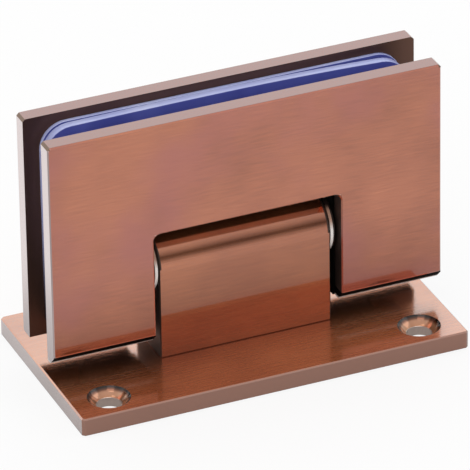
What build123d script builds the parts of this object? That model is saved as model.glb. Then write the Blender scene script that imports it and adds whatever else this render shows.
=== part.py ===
"""Wall-to-glass shower door hinge: a pivoting glass clamp on a wall-mounted pivot block.

Frame: the wall plate's mounting face is Z = 0 and its centre is the origin. X runs along
the pivot axis, -Y is the front of the hinge and +Z points away from the wall.
"""
from build123d import *
from math import cos, pi, sin
import os

os.makedirs("parts", exist_ok=True)

# --- Driving dimensions (mm) ---------------------------------------------------------

# Wall plate
wall_plate_length = 90.0
wall_plate_width = 48.0
wall_plate_thickness = 4.0
wall_plate_corner_chamfer = 0.6
wall_hole_spacing_x = 72.5
wall_hole_spacing_y = 34.5
wall_hole_radius = 2.8
wall_sink_radius = 4.7

# Pivot block and its axis
axis_height = 25.0
block_length = 40.0
block_depth = 14.0
block_end_chamfer = 0.3

# Pivot pin with its detent flats
pin_diameter = 7.0
pin_end_setback = 1.0
pin_end_chamfer = 0.5
pin_flat_depth = 0.5
pin_flat_length = 24.0
pin_flat_count = 3
pin_flat_arc = 180.0
grub_flat_length = 6.5

# Bushings and thrust washers
bushing_wall = 1.3
bushing_length = 6.4
washer_thickness = 1.0
washer_step = 0.2

# Spring detent under the pin
plunger_length = 22.0
plunger_depth = 7.0
plunger_height = 6.0
plunger_gap = 0.2
plunger_edge_chamfer = 0.6
spring_spacing = 11.0
spring_outer_diameter = 5.8
spring_wire_diameter = 0.8
spring_wire_sides = 6
spring_turns = 4
spring_points_per_turn = 10
nub_length = 2.0

# Glass clamp
clamp_length = 90.6
clamp_height = 53.0
clamp_rise = 4.9
clamp_plate_thickness = 3.8
clamp_gap = 10.4
clamp_corner_chamfer = 0.6
clamp_foot_bevel = 2.2
notch_step = 0.45
notch_rise = 10.6
notch_corner_radius = 1.6

# Raised horseshoe on the back plate that carries the pin
horseshoe_arm = 13.0
horseshoe_rise = 8.4
horseshoe_corner_radius = 3.0
horseshoe_front_gap = 0.2

# Fasteners (all with the same thread size)
screw_diameter = 5.0
screw_head_diameter = 9.2
screw_socket_width = 3.0
screw_socket_depth = 2.0
socket_sides = 6
sink_angle = 90.0
block_screw_spacing = 31.4
block_screw_length = 15.8
clamp_screw_spacing = 56.0
clamp_screw_rise = 12.4
clamp_screw_length = 16.4
clamp_tapped_depth = 3.0
thread_end_gap = 1.0
grub_length = 8.0
grub_socket_width = 2.5

# Gasket sheets
gasket_thin = 1.0
gasket_thick = 2.0
gasket_inset = 1.9
gasket_side_inset = 3.5
gasket_corner_radius = 6.0
gasket_foot_radius = 2.5

# Clearances and edge softening
fit_clearance = 0.05
axial_clearance = 0.15
thread_clearance = 0.05
screw_shank_clearance = 0.15
head_recess = 0.2
sink_clearance = 0.05
cavity_clearance = 0.2
gasket_clearance = 0.4
pin_grub_gap = 0.1
spring_end_gap = 0.05
edge_chamfer = 0.3

# --- Places worked out from them -----------------------------------------------------

pin_radius = pin_diameter / 2
bore_radius = pin_radius + fit_clearance
block_half = block_length / 2
bushing_radius = bore_radius + bushing_wall
washer_radius = block_depth / 2 - washer_step
lug_face = block_half + washer_thickness + 2 * axial_clearance
notch_half = lug_face + notch_step
horseshoe_half = lug_face + horseshoe_arm
pin_half = horseshoe_half - pin_end_setback

clamp_bottom = wall_plate_thickness + clamp_rise
clamp_outer = clamp_gap / 2 + clamp_plate_thickness
notch_top = axis_height + notch_rise
horseshoe_top = notch_top + horseshoe_rise
horseshoe_front = clamp_gap / 2 - horseshoe_front_gap
cutout_top = horseshoe_top + gasket_clearance
clamp_screw_height = axis_height + clamp_screw_rise

plunger_top = axis_height - pin_radius - plunger_gap
plunger_bottom = plunger_top - plunger_height
spring_radius = (spring_outer_diameter - spring_wire_diameter) / 2
nub_radius = spring_radius - spring_wire_diameter / 2 - cavity_clearance

screw_radius = screw_diameter / 2
screw_head_radius = screw_head_diameter / 2
tapped_radius = screw_radius + thread_clearance
block_thread_depth = head_recess + block_screw_length + thread_end_gap - wall_plate_thickness
shank_hole_radius = screw_radius + screw_shank_clearance
sink_radius = screw_head_radius + head_recess + sink_clearance
grub_tip = axis_height - pin_radius + pin_flat_depth - pin_grub_gap

# --- Planes that several pieces share ------------------------------------------------

wall_face = Plane(origin=(0, 0, 0), z_dir=(0, 0, -1))
wall_plate_top = Plane.XY.offset(wall_plate_thickness)
block_foot = Plane(origin=(0, 0, wall_plate_thickness), z_dir=(0, 0, -1))
front_inner = Plane.XZ.offset(clamp_gap / 2)
back_inner = Plane.XZ.offset(-clamp_gap / 2)
front_screw_face = Plane(origin=(0, -clamp_gap / 2, clamp_screw_height), x_dir=(1, 0, 0), z_dir=(0, 1, 0))
back_screw_face = Plane(origin=(0, clamp_outer, clamp_screw_height), x_dir=(1, 0, 0), z_dir=(0, 1, 0))
clamp_underside = Plane(origin=(0, 0, clamp_bottom), z_dir=(0, 0, -1))

sides = (("left", -1), ("right", 1))


def countersunk_outline(length):
    """Half section of a countersunk screw: head flat on local X, shank along local -Y."""
    cone_end = screw_radius - screw_head_radius
    Polyline(
        (0, 0),
        (screw_head_radius, 0),
        (screw_radius, cone_end),
        (screw_radius, -length),
        (0, -length),
        close=True,
    )


# --- Wall side -----------------------------------------------------------------------

# Flat plate with four countersunk wall holes, and two sunk from behind for the block
with BuildPart() as wall_plate:
    with BuildSketch() as plate_outline:
        Rectangle(wall_plate_length, wall_plate_width)
        chamfer(plate_outline.vertices(), wall_plate_corner_chamfer)
    extrude(amount=wall_plate_thickness)
    chamfer(wall_plate.faces().sort_by(Axis.Z)[-1].edges(), edge_chamfer)
    with Locations(wall_plate_top):
        with GridLocations(wall_hole_spacing_x, wall_hole_spacing_y, 2, 2):
            CounterSinkHole(wall_hole_radius, wall_sink_radius, counter_sink_angle=sink_angle)
    with Locations(wall_face):
        with GridLocations(block_screw_spacing, 0, 2, 1):
            CounterSinkHole(shank_hole_radius, sink_radius, counter_sink_angle=sink_angle)
wall_plate.part.label = "wall_plate"
export_step(wall_plate.part, "parts/wall_plate.step")

# Upright block whose full-round top is centred on the pivot axis, hollow for the detent
with BuildPart() as pivot_block:
    with BuildSketch(Plane.YZ):
        with BuildLine():
            foot = Line((-block_depth / 2, wall_plate_thickness), (block_depth / 2, wall_plate_thickness))
            rear = Line(foot @ 1, (block_depth / 2, axis_height))
            crown = TangentArc(rear @ 1, (-block_depth / 2, axis_height), tangent=rear % 1)
            Line(crown @ 1, foot @ 0)
        make_face()
    extrude(amount=block_half, both=True)
    end_edges = pivot_block.faces().filter_by(Axis.X).edges()
    chamfer(end_edges.filter_by(lambda edge: edge.center().Z > wall_plate_thickness), block_end_chamfer)
    with BuildSketch(Plane.YZ.offset(-block_half)):
        with Locations((0, axis_height)):
            Circle(bore_radius)
    extrude(amount=block_length, mode=Mode.SUBTRACT)
    with BuildSketch(Plane.YZ.offset(-block_half), Plane.YZ.offset(block_half - bushing_length)):
        with Locations((0, axis_height)):
            Circle(bushing_radius + fit_clearance)
    extrude(amount=bushing_length, mode=Mode.SUBTRACT)
    with BuildSketch(wall_plate_top):
        Rectangle(plunger_length + 2 * cavity_clearance, plunger_depth + 2 * cavity_clearance)
    extrude(amount=axis_height - wall_plate_thickness, mode=Mode.SUBTRACT)
    with Locations(block_foot):
        with GridLocations(block_screw_spacing, 0, 2, 1):
            Hole(tapped_radius, depth=block_thread_depth)
pivot_block.part.label = "pivot_block"
export_step(pivot_block.part, "parts/pivot_block.step")

for side, sign in sides:
    # Countersunk screw from behind the wall plate up into the block
    screw_x = sign * block_screw_spacing / 2
    with BuildPart() as block_screw:
        with BuildSketch(Plane(origin=(screw_x, 0, head_recess), x_dir=(1, 0, 0), z_dir=(0, 1, 0))):
            with BuildLine():
                countersunk_outline(block_screw_length)
            make_face()
        revolve(axis=Axis((screw_x, 0, 0), (0, 0, 1)))
        with BuildSketch(Plane(origin=(screw_x, 0, head_recess), z_dir=(0, 0, -1))):
            RegularPolygon(screw_socket_width / 2, socket_sides, major_radius=False)
        extrude(amount=-screw_socket_depth, mode=Mode.SUBTRACT)
    block_screw.part.label = f"block_screw_{side}"
    export_step(block_screw.part, f"parts/block_screw_{side}.step")

    # Plain sleeve in the end of the block's bore
    bushing_centre = sign * (block_half - bushing_length / 2)
    with BuildPart() as bushing:
        with BuildSketch(Plane.YZ.offset(bushing_centre)):
            with Locations((0, axis_height)):
                Circle(bushing_radius)
                Circle(bore_radius, mode=Mode.SUBTRACT)
        extrude(amount=bushing_length / 2, both=True)
    bushing.part.label = f"bushing_{side}"
    export_step(bushing.part, f"parts/bushing_{side}.step")

# Bar that the springs press against the flat of the pin, with nubs inside the springs
with BuildPart() as detent_plunger:
    with BuildSketch(Plane.XY.offset(plunger_bottom)):
        Rectangle(plunger_length, plunger_depth)
    extrude(amount=plunger_height)
    chamfer(detent_plunger.faces().sort_by(Axis.Z)[-1].edges().filter_by(Axis.X), plunger_edge_chamfer)
    with BuildSketch(Plane.XY.offset(plunger_bottom)):
        with GridLocations(spring_spacing, 0, 2, 1):
            Circle(nub_radius)
    extrude(amount=-nub_length)
detent_plunger.part.label = "detent_plunger"
export_step(detent_plunger.part, "parts/detent_plunger.step")

# Coil springs between the wall plate and the plunger, with their ends ground flat
spring_foot = wall_plate_thickness + spring_end_gap
spring_pitch = (plunger_bottom - spring_end_gap - spring_foot) / spring_turns
for side, sign in sides:
    spring_x = sign * spring_spacing / 2
    coil_points = []
    for step in range(spring_turns * spring_points_per_turn + 1):
        turns = step / spring_points_per_turn
        along = spring_radius * cos(2 * pi * turns)
        across = spring_radius * sin(2 * pi * turns)
        coil_points.append((spring_x + along, across, spring_foot + spring_pitch * turns))
    with BuildPart() as detent_spring:
        with BuildLine() as coil:
            Polyline(*coil_points)
        with BuildSketch(Plane(origin=coil.line @ 0, z_dir=coil.line % 0)):
            RegularPolygon(spring_wire_diameter / 2, spring_wire_sides)
        sweep(transition=Transition.RIGHT)
        split(bisect_by=Plane.XY.offset(spring_foot), keep=Keep.TOP)
        split(bisect_by=Plane.XY.offset(plunger_bottom - spring_end_gap), keep=Keep.BOTTOM)
    detent_spring.part.label = f"detent_spring_{side}"
    export_step(detent_spring.part, f"parts/detent_spring_{side}.step")

# --- Pivot ---------------------------------------------------------------------------

# Ground pin: three long flats for the detent and two short ones for the grub screws
with BuildPart() as pivot_pin:
    with BuildSketch(Plane.YZ):
        with Locations((0, axis_height)):
            Circle(pin_radius)
    extrude(amount=pin_half, both=True)
    chamfer(pivot_pin.edges().filter_by(GeomType.CIRCLE), pin_end_chamfer)
    with BuildSketch(Plane.YZ):
        with Locations((0, axis_height)):
            with PolarLocations(
                pin_diameter - pin_flat_depth,
                pin_flat_count,
                start_angle=pin_flat_arc,
                angular_range=pin_flat_arc,
                endpoint=True,
            ):
                Rectangle(pin_diameter, pin_diameter)
    extrude(amount=pin_flat_length / 2, both=True, mode=Mode.SUBTRACT)
    with BuildSketch(Plane.XY.offset(axis_height - pin_radius + pin_flat_depth)):
        with GridLocations(clamp_screw_spacing, 0, 2, 1):
            Rectangle(grub_flat_length, pin_diameter)
    extrude(amount=-pin_radius, mode=Mode.SUBTRACT)
pivot_pin.part.label = "pivot_pin"
export_step(pivot_pin.part, "parts/pivot_pin.step")

for side, sign in sides:
    # Flat washer on the pin between the block's end and the clamp's lug
    with BuildPart() as thrust_washer:
        with BuildSketch(Plane.YZ.offset(sign * (block_half + axial_clearance + washer_thickness / 2))):
            with Locations((0, axis_height)):
                Circle(washer_radius)
                Circle(bore_radius, mode=Mode.SUBTRACT)
        extrude(amount=washer_thickness / 2, both=True)
    thrust_washer.part.label = f"thrust_washer_{side}"
    export_step(thrust_washer.part, f"parts/thrust_washer_{side}.step")

# --- Glass clamp ---------------------------------------------------------------------

# Outline that both clamp plates share: a rectangle notched round the pivot block
with BuildSketch() as clamp_outline:
    with Locations((0, clamp_bottom)):
        Rectangle(clamp_length, clamp_height, align=(Align.CENTER, Align.MIN))
        Rectangle(
            2 * notch_half,
            notch_top - clamp_bottom,
            align=(Align.CENTER, Align.MIN),
            mode=Mode.SUBTRACT,
        )
    chamfer(clamp_outline.vertices().group_by(Axis.Y)[-1], clamp_corner_chamfer)
    fillet(clamp_outline.vertices().filter_by_position(Axis.Y, notch_top, notch_top), notch_corner_radius)

# Plain cover plate with two blind tapped holes in its inner face
with BuildPart() as front_clamp_plate:
    with BuildSketch(front_inner):
        add(clamp_outline.sketch)
    extrude(amount=clamp_plate_thickness)
    foot_edges = front_clamp_plate.edges().filter_by(Axis.X).group_by(Axis.Z)[0]
    chamfer(foot_edges.group_by(Axis.Y)[0], clamp_foot_bevel)
    chamfer(front_clamp_plate.faces().sort_by(Axis.Y)[0].edges(), edge_chamfer)
    with Locations(front_screw_face):
        with GridLocations(clamp_screw_spacing, 0, 2, 1):
            Hole(tapped_radius, depth=clamp_tapped_depth)
front_clamp_plate.part.label = "front_clamp_plate"
export_step(front_clamp_plate.part, "parts/front_clamp_plate.step")

# Back plate, cast with the horseshoe that holds the pin and takes the clamp screws
with BuildPart() as back_clamp_plate:
    with BuildSketch(back_inner):
        add(clamp_outline.sketch)
    extrude(amount=-clamp_plate_thickness)
    chamfer(back_clamp_plate.faces().sort_by(Axis.Y)[-1].edges(), edge_chamfer)
    with BuildSketch(back_inner) as horseshoe:
        with Locations((0, clamp_bottom)):
            Rectangle(
                2 * horseshoe_half,
                horseshoe_top - clamp_bottom,
                align=(Align.CENTER, Align.MIN),
            )
            Rectangle(
                2 * lug_face,
                notch_top - clamp_bottom,
                align=(Align.CENTER, Align.MIN),
                mode=Mode.SUBTRACT,
            )
        fillet(horseshoe.vertices().group_by(Axis.Y)[-1], horseshoe_corner_radius)
    extrude(amount=clamp_gap / 2 + horseshoe_front)
    with BuildSketch(Plane.YZ):
        with Locations((0, axis_height)):
            Circle(bore_radius)
    extrude(amount=horseshoe_half, both=True, mode=Mode.SUBTRACT)
    with Locations(back_screw_face):
        with GridLocations(clamp_screw_spacing, 0, 2, 1):
            CounterSinkHole(shank_hole_radius, sink_radius, counter_sink_angle=sink_angle)
    with Locations(clamp_underside):
        with GridLocations(clamp_screw_spacing, 0, 2, 1):
            Hole(tapped_radius, depth=axis_height - clamp_bottom)
back_clamp_plate.part.label = "back_clamp_plate"
export_step(back_clamp_plate.part, "parts/back_clamp_plate.step")

for side, sign in sides:
    clamp_screw_x = sign * clamp_screw_spacing / 2
    head_y = clamp_outer - head_recess

    # Socket screw that draws the front plate towards the back plate
    with BuildPart() as clamp_screw:
        with BuildSketch(Plane.XY.offset(clamp_screw_height)):
            with BuildLine(Plane(origin=(clamp_screw_x, head_y, clamp_screw_height))):
                countersunk_outline(clamp_screw_length)
            make_face()
        revolve(axis=Axis((clamp_screw_x, 0, clamp_screw_height), (0, 1, 0)))
        with BuildSketch(Plane(origin=(clamp_screw_x, head_y, clamp_screw_height), z_dir=(0, 1, 0))):
            RegularPolygon(screw_socket_width / 2, socket_sides, major_radius=False)
        extrude(amount=-screw_socket_depth, mode=Mode.SUBTRACT)
    clamp_screw.part.label = f"clamp_screw_{side}"
    export_step(clamp_screw.part, f"parts/clamp_screw_{side}.step")

    # Grub screw from the lug's underside onto the short flat of the pin
    with BuildPart() as pin_grub_screw:
        with BuildSketch(Plane.XY.offset(grub_tip - grub_length)):
            with Locations((clamp_screw_x, 0)):
                Circle(screw_radius)
        extrude(amount=grub_length)
        with BuildSketch(Plane.XY.offset(grub_tip - grub_length)):
            with Locations((clamp_screw_x, 0)):
                RegularPolygon(grub_socket_width / 2, socket_sides, major_radius=False)
        extrude(amount=screw_socket_depth, mode=Mode.SUBTRACT)
    pin_grub_screw.part.label = f"pin_grub_screw_{side}"
    export_step(pin_grub_screw.part, f"parts/pin_grub_screw_{side}.step")

# Gasket outline: rounded sheet cut out round the horseshoe
with BuildSketch() as gasket_outline:
    with Locations((0, clamp_bottom + gasket_inset)):
        Rectangle(
            clamp_length - 2 * gasket_side_inset,
            clamp_height - 2 * gasket_inset,
            align=(Align.CENTER, Align.MIN),
        )
    fillet(gasket_outline.vertices().group_by(Axis.Y)[-1], gasket_corner_radius)
    fillet(gasket_outline.vertices().group_by(Axis.Y)[0], gasket_foot_radius)
    with Locations((0, clamp_bottom)):
        Rectangle(
            2 * (horseshoe_half + gasket_clearance),
            cutout_top - clamp_bottom,
            align=(Align.CENTER, Align.MIN),
            mode=Mode.SUBTRACT,
        )
    fillet(
        gasket_outline.vertices().filter_by_position(Axis.Y, cutout_top, cutout_top),
        horseshoe_corner_radius + gasket_clearance,
    )

gaskets = (
    ("gasket_rear_thin", clamp_gap / 2 - gasket_thin, gasket_thin),
    ("gasket_rear_thick", clamp_gap / 2 - gasket_thin - gasket_thick, gasket_thick),
    ("gasket_front", -clamp_gap / 2, gasket_thin),
)
for gasket_name, front_y, thickness in gaskets:
    with BuildPart() as gasket:
        with BuildSketch(Plane.XZ.offset(-front_y)):
            add(gasket_outline.sketch)
        extrude(amount=-thickness)
    gasket.part.label = gasket_name
    export_step(gasket.part, f"parts/{gasket_name}.step")
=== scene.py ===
# %% [markdown]
# # A wall-to-glass shower door hinge
#
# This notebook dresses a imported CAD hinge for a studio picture. The hinge is a flat wall
# plate with an upright pivot block, and a glass clamp of two plates that swings round it.
# The CAD bodies are loaded first as a fixed frame. They could be remodelled here from
# nothing, but every size is already true in them, so the plates and the block keep their
# meshes and get real finishes. What the CAD only hints at, such as threads, springs and
# soft plastic sheets, is made again in finer detail.

# %% Load the frame
import math

import bmesh
import bpy
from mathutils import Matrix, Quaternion, Vector


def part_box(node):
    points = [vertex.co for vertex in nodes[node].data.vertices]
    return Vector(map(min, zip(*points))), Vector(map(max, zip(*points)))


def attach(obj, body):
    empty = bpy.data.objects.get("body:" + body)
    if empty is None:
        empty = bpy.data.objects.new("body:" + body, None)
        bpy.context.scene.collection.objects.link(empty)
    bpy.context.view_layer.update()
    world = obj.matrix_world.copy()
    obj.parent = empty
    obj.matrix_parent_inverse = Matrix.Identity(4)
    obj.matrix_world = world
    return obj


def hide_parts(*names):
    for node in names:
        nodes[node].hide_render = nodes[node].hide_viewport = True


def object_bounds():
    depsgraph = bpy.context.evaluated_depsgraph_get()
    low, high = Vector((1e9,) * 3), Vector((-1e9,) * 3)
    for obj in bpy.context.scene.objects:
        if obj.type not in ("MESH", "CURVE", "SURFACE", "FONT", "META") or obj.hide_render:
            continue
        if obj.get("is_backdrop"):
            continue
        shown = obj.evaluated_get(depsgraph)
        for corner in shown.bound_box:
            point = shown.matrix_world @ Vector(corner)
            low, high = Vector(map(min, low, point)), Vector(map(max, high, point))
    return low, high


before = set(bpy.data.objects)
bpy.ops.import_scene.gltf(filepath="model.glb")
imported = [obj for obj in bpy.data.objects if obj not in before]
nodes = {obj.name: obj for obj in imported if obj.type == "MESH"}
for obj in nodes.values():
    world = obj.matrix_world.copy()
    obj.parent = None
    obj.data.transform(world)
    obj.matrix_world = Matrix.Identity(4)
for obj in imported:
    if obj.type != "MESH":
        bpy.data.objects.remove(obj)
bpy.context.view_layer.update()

MM = 0.001

# %% [markdown]
# ## Helpers
#
# Colours in this notebook are written the way a paint chart gives them, as sRGB hex. A
# shader works in linear light, so one function turns them. Node trees could be built by
# hand in the editor. One small function that adds any node, sets it and links it keeps
# every material readable from top to bottom, and the steps that come again and again,
# such as a sum, a blend or a soft noise, are short names on top of it.

# %% Colour and node helpers
def linear(code, alpha=1.0):
    """Linear colour of an sRGB hex code such as '#B06B56'."""
    shares = [int(code[i:i + 2], 16) / 255 for i in (1, 3, 5)]
    return tuple(s / 12.92 if s <= 0.04045 else ((s + 0.055) / 1.055) ** 2.4 for s in shares) + (alpha,)


def add(tree, kind, settings=None, inputs=None):
    """Adds a node, sets its settings, and fills or links its inputs."""
    made = tree.nodes.new(kind)
    for name, value in (settings or {}).items():
        setattr(made, name, value)
    for key, value in (inputs or {}).items():
        if isinstance(value, bpy.types.NodeSocket):
            tree.links.new(value, made.inputs[key])
        else:
            made.inputs[key].default_value = value
    return made


def sum_of(tree, operation, *values):
    """One arithmetic step on sockets or numbers."""
    return add(tree, "ShaderNodeMath", {"operation": operation}, dict(enumerate(values))).outputs[0]


def spread(tree, value, start, end, low=0.0, high=1.0, curve="LINEAR"):
    """A value that runs from start to end, turned into one that runs from low to high."""
    return add(tree, "ShaderNodeMapRange", {"interpolation_type": curve}, {
        0: value, 1: start, 2: end, 3: low, 4: high}).outputs[0]


def between(tree, share, first, second):
    """A number part of the way from the first to the second."""
    return add(tree, "ShaderNodeMix", inputs={0: share, 2: first, 3: second}).outputs[0]


def blend(tree, share, first, second):
    """A colour part of the way from the first to the second."""
    return add(tree, "ShaderNodeMix", {"data_type": "RGBA"}, {0: share, 6: first, 7: second}).outputs[2]


def split(tree, vector):
    """The three parts of a vector."""
    return add(tree, "ShaderNodeSeparateXYZ", inputs={0: vector}).outputs


def joined(tree, x=0.0, y=0.0, z=0.0):
    """A vector from its three parts."""
    return add(tree, "ShaderNodeCombineXYZ", inputs={0: x, 1: y, 2: z}).outputs[0]


def length_of(tree, vector):
    """The length of a vector."""
    return add(tree, "ShaderNodeVectorMath", {"operation": "LENGTH"}, {0: vector}).outputs["Value"]


def set_stops(node, stops):
    """Gives a colour ramp its stops, each a place from 0 to 1 and a colour."""
    while len(node.color_ramp.elements) < len(stops):
        node.color_ramp.elements.new(0.5)
    for element, (place, colour) in zip(node.color_ramp.elements, stops):
        element.position = place
        element.color = colour


print("bronze in linear light:", [round(v, 3) for v in linear("#B06B56")[:3]])

# %% [markdown]
# ## The camera
#
# A product picture of something this small is taken from well back with a long lens, so
# the parallel edges of the plates stay almost parallel. The camera could be placed by
# hand, but giving its bearing, its height angle and its distance from a point on the
# hinge says what the view is, and it stays right if the hinge moves.

# %% Camera
camera_bearing = math.radians(-22.72)
camera_height_angle = math.radians(29.40)
camera_roll = math.radians(-0.94)
camera_distance = 1392.5 * MM
camera_target = Vector((-0.26, -2.16, 27.29)) * MM
camera_lens = 497.0

towards_camera = Vector((
    math.sin(camera_bearing) * math.cos(camera_height_angle),
    -math.cos(camera_bearing) * math.cos(camera_height_angle),
    math.sin(camera_height_angle),
))
camera = bpy.data.objects.new("camera", bpy.data.cameras.new("camera"))
bpy.context.scene.collection.objects.link(camera)
camera.data.lens = camera_lens
camera.data.clip_start = 0.1
camera.data.clip_end = 20.0
camera.rotation_mode = "QUATERNION"
camera.rotation_quaternion = (-towards_camera).to_track_quat("-Z", "Y") @ Quaternion((0, 0, 1), camera_roll)
camera.location = camera_target + towards_camera * camera_distance
bpy.context.scene.camera = camera
bpy.context.scene.view_settings.view_transform = "Standard"
print("camera stands", [round(v / MM) for v in camera.location], "mm from the wall face's centre")

# %% [markdown]
# ## The studio
#
# The hinge stands in a white tent. The white behind it could be bought with more light,
# but that would bleach the bronze. Instead the world is plain white to the camera and
# through clear plastic, and lights the hinge at a plain level. What polished metal mirrors
# is a third thing: a tent whose brightest wall stands behind the hinge, with a narrow dark
# gap where the front wall meets the roof.

# %% World
tent_stops = ((0.0, 0.62), (0.02, 0.56), (0.30, 0.10), (0.38, 0.09), (0.62, 0.46), (1.0, 0.90))
back_wall_start, back_wall_full = -0.1, 0.5
back_wall = (1.10, 1.28, 1.32, 1)
plain_light = (0.75, 0.75, 0.75, 1)
plain_white = (1, 1, 1, 1)
world = bpy.data.worlds.new("white_tent")
bpy.context.scene.world = world
world.use_nodes = True
sky = world.node_tree
sky.nodes.clear()
ray = add(sky, "ShaderNodeLightPath").outputs
towards = split(sky, add(sky, "ShaderNodeTexCoord").outputs["Generated"])
tent = add(sky, "ShaderNodeValToRGB", inputs={0: towards["Z"]})
set_stops(tent, [(height, (level, level, level, 1)) for height, level in tent_stops])
behind = spread(sky, towards["Y"], back_wall_start, back_wall_full)
walls = blend(sky, behind, tent.outputs[0], back_wall)
lit_or_mirrored = blend(sky, ray["Is Glossy Ray"], plain_light, walls)
seen = sum_of(sky, "MAXIMUM", ray["Is Camera Ray"], ray["Is Transmission Ray"])
white = blend(sky, seen, lit_or_mirrored, plain_white)
backdrop = add(sky, "ShaderNodeBackground", inputs={"Color": white})
add(sky, "ShaderNodeOutputWorld", inputs={"Surface": backdrop.outputs[0]})
print("world:", world.name, "with", len(sky.nodes), "nodes")

# %% [markdown]
# ## The table
#
# The table is one square of white paper. A plain matt sheet would do under the hinge, but
# the wall plate and the block would mirror it as one bright field. So most of the white
# that the camera and mirrors meet is a glow of its own. In mirrors that glow is dimmer
# close to the hinge and in front of it, as paper in a shade is. The table lies a hair
# below the wall plate's back, so that no two faces lie in one plane, and it is clear from
# underneath, so that the mounting face can be looked at too.

# %% Table
floor_size = 4.0
table_gap = 0.05 * MM
glow_share = 0.82
shade_start, shade_end, shade_level = -15 * MM, 42 * MM, 0.35
front_start, front_end = -30 * MM, 10 * MM
front_level, back_level = 0.56, 1.2
half = floor_size / 2
floor_mesh = bpy.data.meshes.new("floor")
floor_mesh.from_pydata(
    [(x * half, y * half, -table_gap) for x, y in ((-1, -1), (1, -1), (1, 1), (-1, 1))], [], [(0, 1, 2, 3)])
floor = bpy.data.objects.new("floor", floor_mesh)
bpy.context.scene.collection.objects.link(floor)
paper = bpy.data.materials.new("white_paper")
paper.use_nodes = True
tree = paper.node_tree
tree.nodes.clear()
ray = add(tree, "ShaderNodeLightPath").outputs
spot = split(tree, add(tree, "ShaderNodeTexCoord").outputs["Object"])
foot_low, foot_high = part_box("wall_plate")
beside = [
    sum_of(tree, "MAXIMUM", sum_of(tree, "SUBTRACT", sum_of(tree, "ABSOLUTE", spot[i]), reach), 0.0)
    for i, reach in enumerate((foot_high.x, foot_high.y))]
near_hinge = spread(
    tree, length_of(tree, joined(tree, *beside)), shade_start, shade_end, shade_level, 1.0, "SMOOTHERSTEP")
in_front = spread(tree, spot["Y"], front_start, front_end, front_level, back_level)
mirrored = sum_of(tree, "MULTIPLY", near_hinge, in_front)
level = between(tree, ray["Is Glossy Ray"], 1.0, mirrored)
seen = sum_of(tree, "MAXIMUM", ray["Is Camera Ray"], ray["Is Transmission Ray"])
share = sum_of(tree, "MULTIPLY", sum_of(tree, "MAXIMUM", seen, ray["Is Glossy Ray"]), glow_share)
matt = add(tree, "ShaderNodeBsdfDiffuse", inputs={"Color": linear("#F4F4F4")}).outputs[0]
glow = add(tree, "ShaderNodeEmission", inputs={"Color": plain_white, "Strength": level}).outputs[0]
sheet = add(tree, "ShaderNodeMixShader", inputs={0: share, 1: matt, 2: glow}).outputs[0]
underneath = add(tree, "ShaderNodeNewGeometry").outputs["Backfacing"]
clear = add(tree, "ShaderNodeBsdfTransparent").outputs[0]
surface = add(tree, "ShaderNodeMixShader", inputs={0: underneath, 1: sheet, 2: clear}).outputs[0]
add(tree, "ShaderNodeOutputMaterial", inputs={"Surface": surface})
floor_mesh.materials.append(paper)
floor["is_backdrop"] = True
print("table:", floor_size, "m wide,", table_gap / MM, "mm under the wall plate")

# %% [markdown]
# ## Lamps
#
# Three square softboxes stand about two metres off: a strong one at the front left, a weak
# one at the right and a strong one over the back. One big lamp would light the hinge as
# well, but the three give each bevel a bright and a dark side.

# %% Lamps
lamp_aim = Vector((0, 0, 0.03))
lamps = (
    ("front_softbox", (-0.9, -1.3, 1.3), 1.2, 7.0),
    ("side_softbox", (1.5, -0.3, 0.9), 1.0, 3.0),
    ("roof_softbox", (0.0, 0.6, 1.7), 1.4, 7.0),
)
for lamp_name, place, width, watts in lamps:
    light = bpy.data.lights.new(lamp_name, "AREA")
    light.shape = "SQUARE"
    light.size = width
    light.energy = watts
    lamp = bpy.data.objects.new(lamp_name, light)
    bpy.context.scene.collection.objects.link(lamp)
    lamp.location = place
    lamp.rotation_euler = (lamp_aim - lamp.location).to_track_quat("-Z", "Y").to_euler()
print("lamps:", [name for name, *_ in lamps])

# %% [markdown]
# ## Brushed bronze
#
# The plates and the block are brass, ground along their length with a belt, plated and
# darkened to an old bronze, then lacquered. The belt leaves fine lines that run one way,
# so a reflection stays sharp along them and smears across them. An anisotropic shader
# could do that with a tangent, but it says nothing close up. Here stretched noise makes
# the lines themselves: they tilt the surface a little across the grain, change its
# roughness and vary its colour. Real lines are about 0.05 mm apart, which is too fine to
# show, so they are drawn 0.3 mm apart.
#
# Stains and wide rosy clouds change the tone slowly, as darkening by hand does. A tenth
# of the surface answers as pigment and not as mirror, which keeps the brown in the shade,
# and the lacquer is a clear coat with a sharp reflection of its own. Faces that are never
# polished, such as those between the plates, have neither lines nor lacquer. Each is
# picked out by a zone, a box that has its own colour, roughness and share of lacquer.

# %% Brushed bronze
line_spacing = 0.30 * MM
line_length = 7.0 * MM
stain_size = 18.0 * MM
cloud_size = 26.0 * MM
line_depth = 0.012 * MM
bronze_light = linear("#E68A60")
bronze_deep = linear("#AE5C3C")
bronze_blush = linear("#C66E68")
brown_tones = (linear("#B6643E"), linear("#DE8656"))
# Pale colour of the plates' narrow side ends: a painted highlight.
painted_highlight_side_edge = linear("#B09A98")
top_edge = linear("#965546")
# Painted shade: the near black of the plate undersides, the front plate's foot bevel and the lugs in front of
# the back plate.
painted_shade_black = linear("#100C0A")
cast_skin = linear("#5C4C46")
line_range, stain_range, cloud_range = (0.25, 0.75), (0.35, 0.65), (0.45, 0.68)
line_share, stain_share = 0.6, 0.4
metal_share = 0.9


def start_finish(name):
    """A new material, its tree and its shader, and object coordinates, whole and in three parts."""
    material = bpy.data.materials.new(name)
    material.use_nodes = True
    tree = material.node_tree
    place = add(tree, "ShaderNodeTexCoord").outputs["Object"]
    return material, tree, tree.nodes["Principled BSDF"], place, split(tree, place)


def noise(tree, place, size, detail, roughness=0.5):
    """Soft noise with lumps of about this size."""
    return add(tree, "ShaderNodeTexNoise", inputs={
        "Vector": place, "Scale": 1 / size, "Detail": detail, "Roughness": roughness}).outputs["Fac"]


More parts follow.
